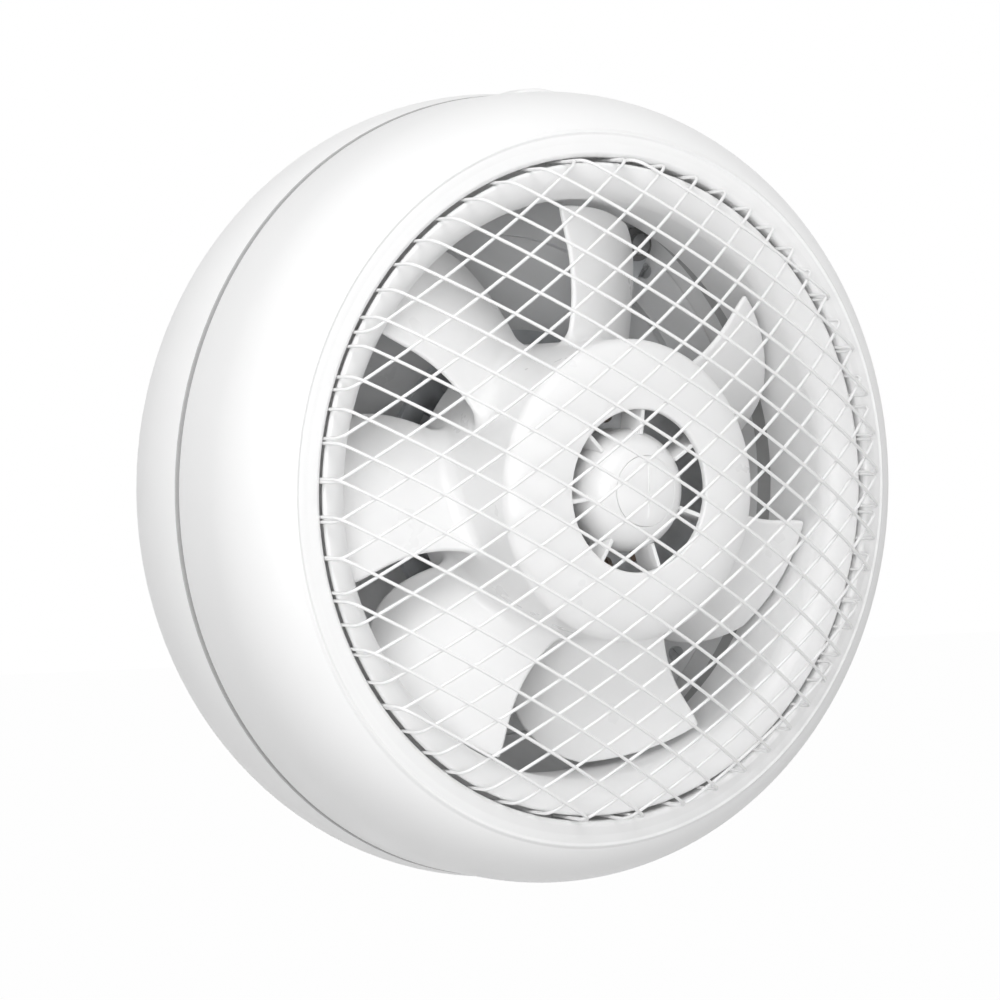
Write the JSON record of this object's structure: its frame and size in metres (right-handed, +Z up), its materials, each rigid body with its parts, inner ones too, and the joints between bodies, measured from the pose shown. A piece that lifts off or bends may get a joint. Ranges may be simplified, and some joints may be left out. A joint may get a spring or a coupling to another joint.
{
  "type": "wall exhaust fan",
  "caption": "Round wall exhaust fan with a domed wire guard, a motor-driven impeller in a bell-mouth duct and sprung back-draught flaps.",
  "frame": {"origin": "on the fan's axis, in the plane of the wall that the casing is screwed to", "axes": "+Z up, +Y along the fan's axis into the wall, +X to the right as seen from the room"},
  "size_m": [0.2908, 0.1605, 0.2916],
  "materials": {
    "white_plastic": "satin white moulded plastic",
    "impeller_plastic": "glossy white moulded plastic",
    "guard_coating": "white coated steel wire",
    "shutter_plastic": "glossy grey plastic",
    "shaft_steel": "ground steel",
    "zinc_steel": "zinc plated steel",
    "bearing_steel": "polished bearing steel",
    "core_steel": "stacked laminations",
    "winding_copper": "dark enamelled copper wire",
    "shield_aluminium": "die cast aluminium",
    "bracket_steel": "zinc coated sheet steel",
    "black_rubber": "matte dark grey rubber",
    "grey_foam": "closed cell foam",
    "terminal_plastic": "matte cream plastic",
    "capacitor_shell": "matte light grey plastic"
  },
  "bodies": {
    "root": {"front_cover": "white_plastic", "rear_casing": "white_plastic", "venturi_ring": "white_plastic", "guard_wires_front": "guard_coating", "guard_wires_back": "guard_coating", "guard_rim_wire": "guard_coating", "stator_core": "core_steel", "stator_winding": "winding_copper", "front_bearing": "bearing_steel", "rear_bearing": "bearing_steel", "motor_front_shield": "shield_aluminium", "motor_rear_shield": "shield_aluminium", "motor_bolts": "zinc_steel", "motor_bracket": "bracket_steel", "rubber_bushes": "black_rubber", "bracket_screws": "zinc_steel", "shutter_frame": "shutter_plastic", "shutter_rod": "shaft_steel", "shutter_springs": "shaft_steel", "shutter_screws": "zinc_steel", "venturi_screws": "zinc_steel", "cover_screw": "zinc_steel", "wall_gasket": "grey_foam", "terminal_block": "terminal_plastic", "terminal_cover": "terminal_plastic", "run_capacitor": "capacitor_shell", "cable_grommet": "black_rubber"},
    "impeller_set": {"impeller": "impeller_plastic", "impeller_cap": "impeller_plastic", "impeller_nut": "zinc_steel", "impeller_washer": "zinc_steel", "motor_shaft": "shaft_steel", "rotor": "core_steel"},
    "upper_flap": {"shutter_flap_upper": "shutter_plastic"},
    "lower_flap": {"shutter_flap_lower": "shutter_plastic"}
  },
  "joints": [
    {"name": "impeller_spin", "type": "hinge", "parent": "root", "child": "impeller_set", "pos_m": [0, -0.08, 0], "axis": [0, -1, 0], "continuous": true},
    {"name": "upper_flap_hinge", "type": "hinge", "parent": "root", "child": "upper_flap", "pos_m": [0, -0.0225, 0], "axis": [-1, 0, 0], "range_deg": [0, 75], "stiffness_Nm_per_rad": 0.03, "springref_deg": -11.46},
    {"name": "lower_flap_hinge", "type": "hinge", "parent": "root", "child": "lower_flap", "pos_m": [0, -0.0225, 0], "axis": [1, 0, 0], "range_deg": [0, 75], "stiffness_Nm_per_rad": 0.01, "springref_deg": -11.46}
  ]
}
